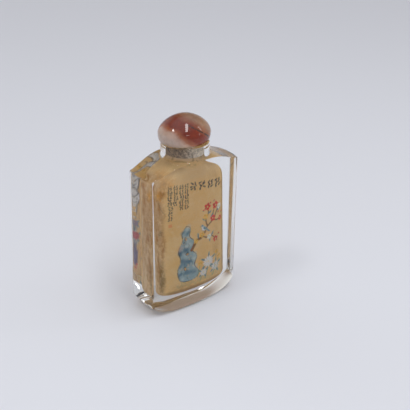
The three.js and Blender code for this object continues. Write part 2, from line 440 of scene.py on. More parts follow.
def bore_rings(turns, sizes, cavity):
    """Rings down the bore, between the mouth and the cavity."""
    top = sizes.neck_top - sizes.lip_round
    return [
        section(turns, cavity.bore_radius, cavity.bore_radius, 2, height)
        for height in np.linspace(top, cavity.bore_foot, BORE_STEPS)[1:-1]
    ]


# ---------------------------------------------------------------- painting

# what the crystal does to a colour under it: light it adds, light it passes, light it keeps in
CRYSTAL_VEIL = 0.045
CRYSTAL_GAIN = 0.485
LIGHT_LOST = 0.6
# half of the width of the painted wall in millimetres
HALF_WALL = 15.0
GRID = 64


def under_crystal(seen):
    """Own colour of a pigment that is to look like this through the crystal it lies on."""
    wanted = np.clip((np.asarray(seen) - CRYSTAL_VEIL) / CRYSTAL_GAIN, 0.004, 0.97)
    return wanted / (1 - LIGHT_LOST * (1 - wanted))


def lattice(first, second, size, seed):
    """Smooth uneven values between 0 and 1 on a square lattice."""
    grid = np.random.default_rng(seed).random((GRID, GRID))
    along_grid, across_grid = np.asarray(first) / size, np.asarray(second) / size
    column, row = np.floor(along_grid).astype(int), np.floor(across_grid).astype(int)
    u, v = smooth_step(along_grid - column, 0, 1), smooth_step(across_grid - row, 0, 1)
    column, row, right, above = column % GRID, row % GRID, (column + 1) % GRID, (row + 1) % GRID
    low = grid[row, column] * (1 - u) + grid[row, right] * u
    high = grid[above, column] * (1 - u) + grid[above, right] * u
    return low * (1 - v) + high * v


def mottle(first, second, size, seed):
    """Smooth uneven patches between 0 and 1, about one size across."""
    turned = 0.8 * first + 0.6 * second, 0.8 * second - 0.6 * first
    both = lattice(first, second, size, seed) + lattice(*turned, size, seed + 100)
    return np.clip(0.5 + 0.7 * (both - 1), 0, 1)


def curve(points, closed=False, steps=6):
    """A smooth path through a few points."""
    points = np.asarray(points, dtype=float)
    if closed:
        around = np.concatenate([points[-1:], points, points[:2]])
    else:
        around = np.concatenate([points[:1], points, points[-1:]])
    path = []
    for before, start, end, after in zip(around, around[1:], around[2:], around[3:]):
        for share in np.arange(steps) / steps:
            bend = 2 * before - 5 * start + 4 * end - after
            twist = -before + 3 * start - 3 * end + after
            path.append(start + 0.5 * share * (end - before + share * (bend + share * twist)))
    return np.array(path if closed else [*path, points[-1]])


def inside(outline, places):
    """Whether places lie inside a closed outline."""
    ends = np.roll(outline, -1, axis=0)
    x, y = places[:, :1], places[:, 1:]
    spans = (outline[:, 1] > y) != (ends[:, 1] > y)
    rise = np.where(spans, ends[:, 1] - outline[:, 1], 1.0)
    cross = outline[:, 0] + (y - outline[:, 1]) * (ends[:, 0] - outline[:, 0]) / rise
    return np.count_nonzero(spans & (x < cross), axis=1) % 2 == 1


def cover_wall(laid, cover, paint):
    """Covers the whole wall with paint, from not at all at 0 to wholly at 1."""
    laid += cover[:, None] * (paint - laid)


class Face:
    """Colours of one face of the cavity wall, laid on stroke by stroke, in millimetres."""

    def __init__(self, points, chosen, colours):
        self.chosen = np.nonzero(chosen)[0]
        self.places = points[self.chosen][:, [0, 2]]
        self.colours = colours

    def lay(self, near, cover, paint):
        """Covers points with paint, from not at all at 0 to wholly at 1."""
        rows = self.chosen[near]
        cover = np.clip(cover, 0, 1)[:, None]
        self.colours[rows] += cover * (np.asarray(paint) - self.colours[rows])

    def near(self, path, margin):
        """Points that a path could touch."""
        low, high = path.min(axis=0) - margin, path.max(axis=0) + margin
        return np.nonzero(np.all((self.places > low) & (self.places < high), axis=1))[0]

    def gap(self, places, path, half_widths):
        """Distance from places to the edge of a stroke along a path."""
        nearest = np.full(len(places), np.inf)
        for start, end, w0, w1 in zip(path, path[1:], half_widths, half_widths[1:]):
            step = end - start
            share = np.clip((places - start) @ step / max(step @ step, 1e-12), 0, 1)
            away = np.linalg.norm(places - start - share[:, None] * step, axis=1)
            nearest = np.minimum(nearest, away - w0 - (w1 - w0) * share)
        return nearest

    def stroke(self, path, widths, paint, soft=0.22, strength=1.0):
        """A brush stroke; its widths are spread evenly along the path."""
        path = np.asarray(path, dtype=float)
        half_widths = np.interp(np.linspace(0, 1, len(path)), np.linspace(0, 1, len(widths)), widths) / 2
        near = self.near(path, max(widths) + soft)
        gap = self.gap(self.places[near], path, half_widths)
        self.lay(near, strength * (0.5 - gap / soft), paint)

    def fill(self, outline, paint, soft=0.3, strength=1.0):
        """A filled shape."""
        ring = np.concatenate([outline, outline[:1]])
        near = self.near(ring, soft)
        places = self.places[near]
        gap = self.gap(places, ring, np.zeros(len(ring)))
        self.lay(near, strength * (0.5 - np.where(inside(outline, places), -gap, gap) / soft), paint)

    def dab(self, centre, size, paint, turn=0.0, soft=0.5, strength=1.0):
        """A soft oval; soft is the share of its size that fades out."""
        centre = np.asarray(centre, dtype=float)
        near = self.near(np.array([centre]), max(size) * (1 + soft))
        away = self.places[near] - centre
        along = (away[:, 0] * math.cos(turn) + away[:, 1] * math.sin(turn)) / size[0]
        across = (away[:, 1] * math.cos(turn) - away[:, 0] * math.sin(turn)) / size[1]
        self.lay(near, strength * (1 + soft / 2 - np.hypot(along, across)) / soft, paint)


def blossom(face, centre, radius, paint, heart, petals=5, turn=0.3):
    """A round flower with soft petals and a dotted heart."""
    centre = np.asarray(centre, dtype=float)
    for petal in range(petals):
        angle = turn + 2 * math.pi * petal / petals
        out = np.array([math.cos(angle), math.sin(angle)])
        shade = 0.86 if petal % 2 else 1.08
        size = (0.52 * radius, 1.5 * radius / petals + 0.12 * radius)
        face.dab(centre + 0.58 * radius * out, size, np.asarray(paint) * shade, angle, 0.35)
        face.dab(centre + 0.3 * radius * out, (0.3 * radius, 0.1), np.asarray(paint) * 0.55, angle, 0.6, 0.7)
    face.dab(centre, (0.22 * radius, 0.22 * radius), heart, 0.0, 0.6)


def many_petals(face, centre, radius, paint, line):
    """A full flower of three rings of narrow petals."""
    centre = np.asarray(centre, dtype=float)
    face.dab(centre, (0.85 * radius, 0.8 * radius), np.asarray(paint) * 0.72, 0.0, 0.3)
    for ring, count in ((0.8, 13), (0.52, 9), (0.24, 5)):
        for petal in range(count):
            angle = 2 * math.pi * (petal + ring) / count
            out = np.array([math.cos(angle), 0.92 * math.sin(angle)])
            face.dab(centre + ring * radius * out, (0.26 * radius, 0.12 * radius), paint, angle, 0.5)
            rib = [centre + (ring - 0.2) * radius * out, centre + (ring + 0.12) * radius * out]
            face.stroke(rib, [0.14, 0.05], line, 0.2, 0.5)


def leaf(face, start, tip, breadth, paint, vein):
    """A pointed leaf with a vein."""
    start, tip = np.asarray(start, dtype=float), np.asarray(tip, dtype=float)
    side = np.array([start[1] - tip[1], tip[0] - start[0]]) / np.linalg.norm(tip - start) * breadth / 2
    middle = 0.55 * start + 0.45 * tip
    face.fill(curve([start, middle + side, tip, middle - side], closed=True), paint, 0.25)
    face.stroke([start, 0.2 * start + 0.8 * tip], [0.22, 0.08], vein, 0.2, 0.8)


def bird(face, centre, size, facing, back, belly, ink):
    """A small perched bird; facing is 1 to the right and -1 to the left."""

    def at(across, up):
        return np.asarray(centre, dtype=float) + size * np.array([facing * across, up])

    tail = [(-0.3, -0.12), (-0.75, -0.42), (-1.15, -0.78), (-0.98, -0.82), (-0.35, -0.4)]
    body = [(-0.42, -0.2), (-0.3, 0.12), (0.02, 0.36), (0.36, 0.42), (0.46, 0.12)]
    body += [(0.3, -0.28), (-0.1, -0.42)]
    wing = [(-0.72, -0.36), (-0.36, 0.06), (0.02, 0.27), (0.16, 0.02), (-0.16, -0.26)]
    tail, body, wing = (curve([at(*place) for place in part], True) for part in (tail, body, wing))
    for part, paint in ((tail, back * 0.75), (body, belly), (wing, back)):
        face.fill(part, paint, 0.25)
    face.dab(at(0.34, 0.46), (0.23 * size, 0.21 * size), back, 0.0, 0.25)
    face.dab(at(0.42, 0.36), (0.12 * size, 0.1 * size), belly, 0.0, 0.4)
    for up in (0.0, 0.12, 0.24):
        face.stroke([at(-0.5, -0.34 + up), at(0.02, -0.06 + up)], [0.1, 0.16], ink, 0.2, 0.6)
    face.stroke([at(0.52, 0.46), at(0.76, 0.4)], [0.2, 0.06], ink, 0.2)
    face.dab(at(0.39, 0.5), (0.13, 0.13), ink, 0.0, 0.8)
    face.stroke([at(0.12, -0.36), at(0.16, -0.6)], [0.12, 0.12], ink, 0.2)
    face.stroke(body, [0.12, 0.12], ink, 0.2, 0.5)


def marks(face, generator, centre, size, paint):
    """Short brush dabs set apart in two columns: from afar a mark, close by only dabs."""
    for column in (-0.27, 0.27):
        for row in (-0.36, 0.0, 0.36):
            angle = generator.choice([0.25, 0.8, 1.5, 2.4]) + generator.normal(0, 0.15)
            half = size * generator.uniform(0.12, 0.2) * np.array([math.cos(angle), math.sin(angle)])
            middle = np.add(centre, size * (np.array([column, row]) + generator.normal(0, 0.04, 2)))
            face.stroke([middle - half, middle + half], [0.24 * size, 0.12 * size], paint, 0.16)


def rock(face, outline, hollows, colours, generator):
    """A tall garden rock with hollows, washed in and then drawn in ink."""
    outline = curve(outline, closed=True)
    low, high = outline.min(axis=0), outline.max(axis=0)
    face.fill(outline, colours["rock"], 0.4)
    for _ in range(70):
        centre = generator.uniform(low, high)
        lit = (centre[0] - low[0]) / (high[0] - low[0])
        tone = colours["rock_light"] if generator.random() < lit else colours["rock_dark"]
        size, turn = generator.uniform(0.5, 1.4, 2), generator.uniform(0.8, 2.3)
        if inside(outline, centre[None])[0]:
            face.dab(centre, size, tone, turn, 0.8, 0.45)
    for centre, size in hollows:
        face.dab(centre, size, colours["rock_dark"] * 0.6, 0.2, 0.35)
        face.dab(np.add(centre, (0.12, -0.15)), np.multiply(size, 0.62), colours["ground_dark"], 0.2, 0.4)
    for part in np.array_split(np.concatenate([outline, outline[:1]]), 9):
        face.stroke(part, [0.12, 0.38, 0.1], colours["ink"], 0.22, 0.85)
    for _ in range(26):
        start = generator.uniform(low, high)
        bend = generator.uniform(-0.8, 0.8)
        path = curve([start, start + (bend, 1.0), start + (0.4 * bend, 2.1)])
        if inside(outline, path[::4]).all():
            face.stroke(path, [0.08, 0.26, 0.06], colours["ink"], 0.22, 0.6)


def around_wall(points):
    """Distance around the wall in millimetres, growing steadily past the corners."""
    across, depth, _ = points.T
    turned = np.tanh(depth / 2)
    return depth - turned * np.abs(across) + HALF_WALL * (1 + turned) + 0.3 * across


def paint_ground(points, colours):
    """The worn tan ground all over the wall, streaked on the narrow sides."""
    across, depth, up = points.T
    around = around_wall(points)
    broad = 0.6 * mottle(across, up, 7.0, 1) + 0.4 * mottle(across, up, 2.6, 2)
    fine = 0.6 * mottle(around, up, 1.1, 3) + 0.4 * mottle(around, up, 0.5, 4)
    share = np.clip(0.15 + 0.7 * broad + 0.3 * (fine - 0.5), 0, 1)[:, None]
    wall = (1 - share) * colours["ground"] + share * colours["ground_dark"]
    streaks = 0.4 * mottle(depth + 0.06 * up, up / 7, 0.9, 5)
    streaks += 0.3 * mottle(depth - 0.05 * up, up / 11, 0.5, 6)
    streaks += 0.3 * mottle(depth + across, up / 3, 0.4, 7)
    streaks = smooth_step(streaks, 0.15, 0.9)[:, None]
    streaked = (1 - streaks) * colours["side"] + streaks * colours["stain_dark"]
    cover_wall(wall, 0.8 * smooth_step(np.abs(across), 12.6, 15.0), streaked)
    return wall


def stain(points, laid, centre, size, paint, strength, seed):
    """A soft stain with ragged edges, anywhere on the wall."""
    away = np.linalg.norm((points - np.asarray(centre)) / np.asarray(size), axis=1)
    around, up = around_wall(points), points[:, 2]
    ragged = 0.3 * mottle(around, up, 1.4, seed) + 0.35 * mottle(around, up, 0.6, seed + 50)
    ragged += 0.35 * mottle(around, up, 0.28, seed + 80)
    cover_wall(laid, strength * smooth_step(1.3 - ragged - 0.9 * away, 0, 0.9), paint)


# Places on a face are across and up from the middle of the base, in millimetres.
FRONT_ROCK = (
    *((-7.4, 12.5), (-8.3, 17.0), (-7.0, 21.0), (-8.0, 25.5), (-6.3, 29.5), (-6.5, 32.5)),
    *((-4.6, 35.2), (-2.8, 34.0), (-3.2, 30.6), (-1.2, 28.2), (-2.0, 24.6), (0.2, 21.5)),
    *((-0.8, 17.6), (1.2, 14.4), (0.2, 11.8), (-4.0, 11.2)),
)
FRONT_HOLLOWS = (((-4.9, 30.0), (0.5, 0.9)), ((-4.2, 23.4), (0.8, 0.6)), ((-5.2, 17.2), (0.6, 1.1)))
FRONT_BRANCH = ((-2.2, 24.5), (0.3, 27.8), (3.0, 28.8), (5.3, 32.4), (8.2, 34.4), (10.6, 38.6))
FRONT_TWIGS = (
    ((3.0, 28.8), (5.0, 27.6), (7.6, 27.4), (9.3, 25.8)),
    ((5.3, 32.4), (4.4, 35.2), (5.6, 38.0), (5.2, 40.2)),
    ((8.2, 34.4), (10.2, 33.4), (12.0, 33.8)),
    ((8.2, 34.4), (8.0, 37.0), (8.9, 39.4)),
)
FRONT_LEAVES = (
    # start, tip
    ((4.6, 35.0), (2.6, 36.4)),
    ((5.4, 37.6), (7.2, 38.4)),
    ((7.4, 27.5), (8.4, 29.4)),
    ((9.2, 26.0), (11.2, 25.4)),
    ((10.0, 37.4), (12.2, 38.2)),
    ((1.0, 28.3), (0.6, 31.0)),
    ((6.4, 27.4), (6.6, 25.2)),
    ((8.1, 37.2), (6.8, 35.2)),
)
FRONT_BLOSSOMS = (
    # centre, radius
    ((5.1, 40.6), 1.5),
    ((4.2, 36.6), 1.2),
    ((9.3, 40.0), 1.45),
    ((11.2, 38.9), 1.15),
    ((8.0, 34.9), 1.3),
    ((2.6, 29.6), 1.3),
    ((9.6, 25.4), 1.2),
    ((6.2, 27.6), 1.05),
    ((12.0, 33.6), 1.0),
    ((-0.2, 27.6), 1.0),
)
FRONT_BUDS = ((6.6, 41.9), (3.2, 39.6), (10.9, 36.6), (11.4, 27.0), (12.8, 36.0), (8.6, 42.2))
FRONT_BIG_MARKS = ((-1.6, 51.0), (2.4, 50.6), (6.4, 50.0), (10.2, 49.4))
FRONT_COLUMNS = (
    # across, top, foot
    (-11.2, 52.4, 39.6),
    (-9.0, 52.2, 44.4),
    (-6.8, 52.0, 43.4),
    (-4.6, 51.8, 43.4),
)


def paint_grass(face, paint, generator):
    """Short thin blades along the foot of the picture."""
    for across in np.arange(-8.5, 13.0, 0.55):
        tall = generator.uniform(0.8, 2.6)
        start = np.array([across, 9.3 + generator.normal(0, 0.4)])
        blade = curve([start, start + (0.1, 0.5 * tall), start + (generator.normal(0, 0.5), tall)])
        face.stroke(blade, [0.3, 0.2, 0.08], paint["leaf"], 0.3, 0.5)


def paint_branch(face, paint):
    """A branch out of the rock with its twigs, leaves, blossoms and buds."""
    strokes = [(FRONT_BRANCH, [1.2, 0.85, 0.5, 0.3])] + [(twig, [0.45, 0.3, 0.15]) for twig in FRONT_TWIGS]
    for points, widths in strokes:
        path = curve(points)
        face.stroke(path, [width + 0.2 for width in widths], paint["ink"], 0.25, 0.7)
        face.stroke(path, widths, paint["bark"], 0.25)
    for start, tip in FRONT_LEAVES:
        leaf(face, start, tip, 0.8, paint["leaf_blue"], paint["ink"])
    for number, (centre, radius) in enumerate(FRONT_BLOSSOMS):
        tone = paint[("red", "orange", "red", "pale")[number % 4]]
        blossom(face, centre, radius, tone, paint["gold"], turn=0.7 * number)
    for place in FRONT_BUDS:
        face.dab(place, (0.42, 0.34), paint["red"], 0.6, 0.5)
        face.dab(np.subtract(place, (0.2, 0.25)), (0.24, 0.2), paint["leaf"], 0.0, 0.6)


def paint_front_flowers(face, paint):
    """Three full pale flowers with leaves, and small orange ones on thin stems."""
    for centre, radius in (((6.0, 16.6), 2.5), ((9.9, 13.2), 2.0), ((3.6, 12.6), 1.6)):
        stem = [np.subtract(centre, (0, 0.6 * radius)), (centre[0] - 1.2, 10.5), (centre[0] - 1.6, 9.4)]
        face.stroke(curve(stem), [0.4, 0.28], paint["leaf"], 0.25)
        for turn in (0.5, 1.5, 2.6, 3.8, 5.2):
            out = np.array([math.cos(turn), math.sin(turn)])
            start = np.add(centre, 0.7 * radius * out)
            leaf(face, start, start + 1.05 * radius * out, 0.9, paint["leaf_blue"], paint["ink"])
        many_petals(face, centre, radius, paint["white"], paint["line"])
        face.dab(centre, (0.3, 0.3), paint["gold"], 0.0, 0.7)
    for across, up in ((10.4, 19.3), (1.9, 17.3), (11.8, 16.9)):
        stem = curve([(across, up), (across - 0.5, up - 3), (across - 1.4, 11)])
        face.stroke(stem, [0.22, 0.22], paint["leaf"])
        blossom(face, (across, up), 0.95, paint["orange"], paint["gold"], turn=across)


def paint_front(face, paint, generator):
    """A garden rock with a flowering branch, a bird and pale flowers, and brush marks above."""
    paint_grass(face, paint, generator)
    rock(face, FRONT_ROCK, FRONT_HOLLOWS, paint, generator)
    paint_branch(face, paint)
    bird(face, (3.6, 32.0), 2.6, -1, paint["feather_blue"], paint["white"], paint["ink"])
    paint_front_flowers(face, paint)
    for place in FRONT_BIG_MARKS:
        marks(face, generator, place, 3.0, paint["ink"])
    for across, top, foot in FRONT_COLUMNS:
        for up in np.arange(top, foot, -2.05):
            marks(face, generator, (across + generator.normal(0, 0.1), up), 1.7, paint["ink"])
    for across in (-11.65, -11.2, -10.75):
        face.stroke([(across, 36.6), (across, 37.6)], [0.3, 0.3], paint["seal"], 0.25, 0.8)


BACK_BOUGHS = (
    # path, widths
    (
        ((-2.4, 33.0), (-1.6, 38.0), (-1.9, 43.0), (-1.5, 47.5), (-3.4, 51.6), (-7.0, 55.0)),
        (2.3, 2.1, 2.1, 2.2, 1.9, 0.7),
    ),
    (((-1.4, 43.5), (-4.6, 46.6), (-7.4, 45.6), (-10.8, 43.4)), (2.3, 1.9, 1.3, 0.5)),
    (((-1.8, 38.4), (0.6, 42.6), (4.4, 43.6), (7.0, 47.2), (11.0, 47.0)), (1.9, 1.7, 1.1, 0.6)),
)
BACK_TWIGS = (
    # start, tip
    ((-10.6, 43.6), (-12.6, 41.4)),
    ((10.8, 47.0), (13.0, 48.8)),
    ((-5.0, 46.6), (-6.8, 50.4)),
    ((7.0, 47.2), (7.4, 51.4)),
    ((4.4, 43.6), (7.4, 41.4)),
    ((-7.6, 45.6), (-9.6, 47.8)),
)
BACK_BLOSSOMS = (
    # centre, radius, pigment
    ((-8.6, 47.6), 1.2, "orange"),
    ((-11.0, 41.0), 1.3, "red"),
    ((-6.4, 43.2), 1.1, "orange"),
    ((4.6, 47.8), 1.3, "red"),
    ((8.4, 45.2), 1.4, "orange"),
    ((11.2, 42.8), 1.2, "pale"),
    ((5.0, 42.6), 1.1, "red"),
    ((-9.0, 49.6), 1.0, "orange"),
    ((-2.2, 37.0), 1.3, "orange"),
    ((-1.8, 34.6), 1.2, "orange"),
    ((-2.6, 32.6), 1.4, "orange"),
    ((-4.6, 35.2), 1.3, "red"),
)
BACK_ROCK = ((-4.4, 23.0), (-5.0, 28.0), (-4.0, 31.4), (-2.4, 32.8), (-1.5, 29.4), (-1.7, 26.4), (-1.4, 21.6))
BACK_FLOWERS = (
    # centre, radius, pigment
    ((-1.4, 25.4), 1.9, "magenta"),
    ((-1.2, 30.8), 1.3, "purple"),
    ((-4.4, 20.6), 1.9, "magenta"),
    ((5.8, 22.0), 2.2, "magenta"),
    ((9.6, 18.0), 1.7, "red"),
    ((-8.4, 17.0), 2.0, "white"),
    ((-11.2, 21.4), 1.6, "white"),
)
BACK_TUFTS = (
    # across, up, height
    (-3.0, 12.0, 9.0),
    (-1.9, 12.4, 10.5),
    (-1.3, 13.4, 6.0),
    (4.4, 10.5, 8.0),
    (-6.0, 10.5, 5.0),
)
BACK_BERRIES = ((-1.3, 12.4), (-1.7, 10.9), (3.0, 12.6), (-7.0, 11.4), (8.0, 12.4))


def paint_tree(face, paint, generator):
    """A pale tree drawn in ink, with short dark marks in its bark and with blossoms."""
    for start, tip in BACK_TWIGS:
        middle = np.add(start, tip) / 2 + (0.5, 0.3)
        face.stroke(curve([start, middle, tip]), [0.7, 0.45, 0.2], paint["ink"], 0.25, 0.8)
    for points, widths in BACK_BOUGHS:
        path = curve(points)
        face.stroke(path, [width + 0.7 for width in widths], paint["ink"], 0.3, 0.9)
        face.stroke(path, widths, paint["trunk"], 0.35)
        for place in path[2:-2:2]:
            lean = generator.normal(0, 0.35)
            face.stroke([place, place + (0.6 + lean, 0.8)], [0.45, 0.15], paint["ink"], 0.25, 0.8)
            patch = place + generator.normal(0, 0.5, 2)
            face.dab(patch, (0.5, 0.25), paint["pale"], generator.uniform(0, 3), 0.8, 0.5)
    for centre, radius, tone in BACK_BLOSSOMS:
        blossom(face, centre, radius, paint[tone], paint["ink"], turn=centre[0])


def paint_back_flowers(face, paint):
    """Full flowers with leaves, tufts of violet blades and red berries."""
    for centre, radius, tone in BACK_FLOWERS:
        for turn in (0.4, 1.9, 3.3, 4.6):
            out = radius * np.array([math.cos(turn + centre[0]), math.sin(turn + centre[0])])
            start, tip = np.add(centre, 0.7 * out), np.add(centre, 1.7 * out)
            leaf(face, start, tip, 1.0, paint["leaf_blue"], paint["ink"])
        many_petals(face, centre, radius, paint[tone], paint["line"])
    for across, up, tall in BACK_TUFTS:
        for bend in (-0.9, 0.1, 0.8):
            path = [(across, up), (across + 0.4 * bend, up + 0.6 * tall), (across + 1.3 * bend, up + tall)]
            face.stroke(curve(path), [0.8, 0.9, 0.15], paint["purple"], 0.3, 0.9)
            face.stroke(curve(path), [0.1, 0.16, 0.08], paint["ink"], 0.25, 0.7)
    for place in BACK_BERRIES:
        face.dab(place, (0.55, 0.5), paint["red"], 0.0, 0.5)


def paint_back(face, paint, generator):
    """A pale tree over flowers and a rock, with a bird on a twig."""
    paint_tree(face, paint, generator)
    rock(face, BACK_ROCK, [((-2.8, 28.0), (0.5, 0.9))], paint | {"rock": paint["rock_dark"]}, generator)
    paint_back_flowers(face, paint)
    bird(face, (6.4, 36.6), 2.8, 1, paint["feather_blue"], paint["white"], paint["ink"])
    face.stroke(curve([(3.4, 34.2), (7.0, 34.9), (12.0, 33.2)]), [0.5, 0.25], paint["bark"])


STAINS = (
    # (x, y, z) and size in millimetres, pigment, strength
    ((-14.0, -2.8, 50.2), (2.6, 3.2, 4.4), "stain", 0.9),
    ((-13.6, -3.4, 50.2), (2.6, 2.4, 3.2), "stain_dark", 0.9),
    ((-12.4, -1.4, 54.8), (2.8, 3.0, 1.5), "stain", 0.9),
    ((-14.6, 0.8, 52.8), (2.2, 2.6, 2.8), "stain_dark", 0.9),
    ((-11.6, -3.6, 54.8), (4.6, 4.4, 3.8), "stain", 0.85),
    ((-12.8, -3.6, 54.2), (3.6, 3.8, 3.4), "stain_dark", 0.75),
    ((-14.3, -3.3, 16.0), (2.3, 3.0, 12.0), "smudge", 0.85),
    ((-14.2, -3.5, 12.0), (2.0, 2.8, 6.0), "smudge", 0.75),
    ((-14.4, -3.2, 34.6), (1.7, 2.2, 3.0), "smudge", 0.85),
    ((-13.8, -3.6, 28.0), (1.7, 2.2, 9.0), "stain_dark", 0.8),
    ((-13.6, -3.6, 42.0), (1.5, 2.0, 6.0), "stain_dark", 0.5),
    ((-15.4, -1.8, 28.0), (0.9, 1.2, 26.0), "stain_dark", 0.8),
    ((9.0, -5.4, 52.5), (5.5, 3.0, 3.5), "stain_dark", 0.3),
    ((12.6, -3.6, 47.6), (1.6, 2.0, 2.6), "stain_dark", 0.7),
    ((9.8, -5.0, 21.0), (4.0, 3.0, 12.0), "stain_dark", 0.3),
    ((-6.0, -6.0, 8.0), (9.0, 3.0, 4.0), "stain_dark", 0.5),
    ((-7.4, -6.0, 26.4), (2.4, 3.0, 2.0), "seal", 0.3),
    ((-11.5, 4.6, 50.6), (3.6, 3.2, 4.6), "stain", 0.7),
    ((12.2, 4.2, 36.0), (1.8, 2.0, 24.0), "stain_dark", 0.75),
)
SCRATCH = ((-14.9, 47.0), (-14.4, 44.8), (-13.8, 43.2), (-13.0, 42.2))


def wear_wall(points, laid, paint):
    """Painted shade on the sloping shoulders, dust in the throat, dark rims at the foot and the right, and
    worn flecks.
    """
    across, depth, up = points.T
    around = around_wall(points)
    sloping = smooth_step(up, 50.5, 55.5)
    throat, rim = smooth_step(up, 57.0, 60.5), smooth_step(up, 58.6, 61.4)
    specks = smooth_step(mottle(across + depth, up, 0.45, 42), 0.45, 0.75)
    foot = smooth_step(-up, -8.9, -7.6) * smooth_step(-depth, 2.0, 5.0)
    right = smooth_step(across - 0.0375 * (24 - up), 13.0, 14.2) * (depth < 0)
    worn = mottle(around, up, 0.33, 40) * mottle(around, up, 1.9, 41)
    for cover, tone in (
        # painted shade: the sloping shoulders are darkened with the dull side wash and a little dark stain
        (0.4 * sloping, "side"),
        (0.08 * sloping, "stain_dark"),
        (0.5 * throat, "ground_dark"),
        (0.6 * rim, "line"),
        (0.5 * throat * specks, "smudge"),
        (0.75 * foot, "edge"),
        (0.7 * right, "edge"),
        (0.5 * smooth_step(worn, 0.42, 0.6), "ground"),
    ):
        cover_wall(laid, cover, paint[tone])


def paint_wall(points, paint):
    """Colours of points of the cavity wall, given in millimetres."""
    laid = paint_ground(points, paint)
    generator = np.random.default_rng(11)
    front = Face(points, points[:, 1] < 0, laid)
    paint_front(front, paint, generator)
    paint_back(Face(points, points[:, 1] >= 0, laid), paint, generator)
    for number, (centre, size, pigment, strength) in enumerate(STAINS):
        stain(points, laid, centre, size, paint[pigment], strength, number + 20)
    front.stroke(curve(SCRATCH), [0.1, 0.14, 0.08], paint["ink"], 0.25, 0.45)
    wear_wall(points, laid, paint)
    return laid


# ---------------------------------------------------------------- materials


def new_material(name):
    """A material with an empty node tree apart from its Principled shader."""
    material = bpy.data.materials.new(name)
    material.use_nodes = True
    return material, material.node_tree, material.node_tree.nodes["Principled BSDF"]


def add_node(tree, kind, inputs=None, **settings):
    """Adds a node; its inputs are values or sockets to link from."""
    node = tree.nodes.new("ShaderNode" + kind)
    for name, value in settings.items():
        setattr(node, name, value)
    for name, value in (inputs or {}).items():
        if isinstance(value, bpy.types.NodeSocket):
            tree.links.new(value, node.inputs[name])
        else:
            node.inputs[name].default_value = value
    return node


def calculate(tree, operation, *values):
    """A math node's result."""
    return add_node(tree, "Math", dict(enumerate(values)), operation=operation).outputs[0]


def map_range(tree, value, low, high, start=0.0, end=1.0, smooth=True):
    """Maps a value between two limits to a smooth share."""
    kind = "SMOOTHSTEP" if smooth else "LINEAR"
    limits = {"Value": value, "From Min": low, "From Max": high, "To Min": start, "To Max": end}
    return add_node(tree, "MapRange", limits, interpolation_type=kind).outputs["Result"]


def blend(tree, share, first, second, kind="MIX"):
    """Mixes two colours."""
    mix = add_node(tree, "Mix", {"Factor": share}, data_type="RGBA", blend_type=kind)
    for name, value in (("A", first), ("B", second)):
        socket = next(entry for entry in mix.inputs if entry.name == name and entry.type == "RGBA")
        if isinstance(value, bpy.types.NodeSocket):
            tree.links.new(value, socket)
        else:
            socket.default_value = (*value, 1.0)
    return next(entry for entry in mix.outputs if entry.type == "RGBA")


def noise(tree, place, size, detail=3.0):
    """Cloudy noise with patches of about this size."""
    inputs = {"Vector": place, "Scale": 1 / size, "Detail": detail}
    return add_node(tree, "TexNoise", inputs).outputs["Fac"]


def object_place(tree):
    """Places in the piece's own space."""
    return add_node(tree, "TexCoord").outputs["Object"]


def along(tree, place, direction, centre=(0.0, 0.0, 0.0)):
    """Distance of a place from a centre, measured in a direction."""
    from_centre = add_node(tree, "VectorMath", {0: place, 1: centre}, operation="SUBTRACT").outputs[0]
    product = add_node(tree, "VectorMath", {0: from_centre, 1: direction}, operation="DOT_PRODUCT")
    return product.outputs["Value"]


def crystal_material():
    """Clear polished rock crystal."""
    material, _, shader = new_material("polished_crystal")
    shader.inputs["Base Color"].default_value = (0.97, 0.975, 0.965, 1)
    shader.inputs["Roughness"].default_value = 0.0
    shader.inputs["IOR"].default_value = 1.54
    shader.inputs["Transmission Weight"].default_value = 1.0
    return material


def painted_material():
    """Paint on the wall of the cavity, seen through the crystal it lies on."""
    material, tree, shader = new_material("painted_wall")
    place = object_place(tree)
    paint = add_node(tree, "VertexColor", layer_name="painting").outputs["Color"]
    grain = map_range(tree, noise(tree, place, 0.35 * MM), 0.3, 0.7)
    paint = blend(tree, calculate(tree, "MULTIPLY", grain, 0.3), paint, (0.72, 0.68, 0.62), "MULTIPLY")
    tree.links.new(paint, shader.inputs["Base Color"])
    shader.inputs["Roughness"].default_value = 0.8
    shader.inputs["Specular IOR Level"].default_value = 0.0
    return material


def bore_material():
    """Unpainted, ground wall of the bore, grey and dusty, with painted shade towards the left and back and
    painted light towards the right and front.
    """
    material, tree, shader = new_material("ground_bore")
    place = object_place(tree)
    # painted shade and light: brown-grey to the left and back, near white to the right and front; the dark
    # specks are dust
    side = map_range(tree, along(tree, place, (1.0, -0.4, 0.0)), -4 * MM, 4.5 * MM)
    dust_and_shade = blend(tree, side, (0.46, 0.31, 0.18), (0.97, 0.86, 0.70))
    for size, low, high, strength in ((1.1 * MM, 0.42, 0.62, 0.55), (0.4 * MM, 0.5, 0.62, 0.75)):
        fade = map_range(tree, side, 0.3, 1.0, strength, 0.45 * strength)
        speck = calculate(tree, "MULTIPLY", map_range(tree, noise(tree, place, size), low, high), fade)
        dust_and_shade = blend(tree, speck, dust_and_shade, (0.09, 0.065, 0.045))
    tree.links.new(dust_and_shade, shader.inputs["Base Color"])
    shader.inputs["Roughness"].default_value = 0.8
    shader.inputs["Specular IOR Level"].default_value = 0.0
    return material


# directions across the bands of the stone and along them
BAND_FACING = (0.655, -0.048, 0.753)
BAND_ALONG = (0.503, -0.714, -0.484)
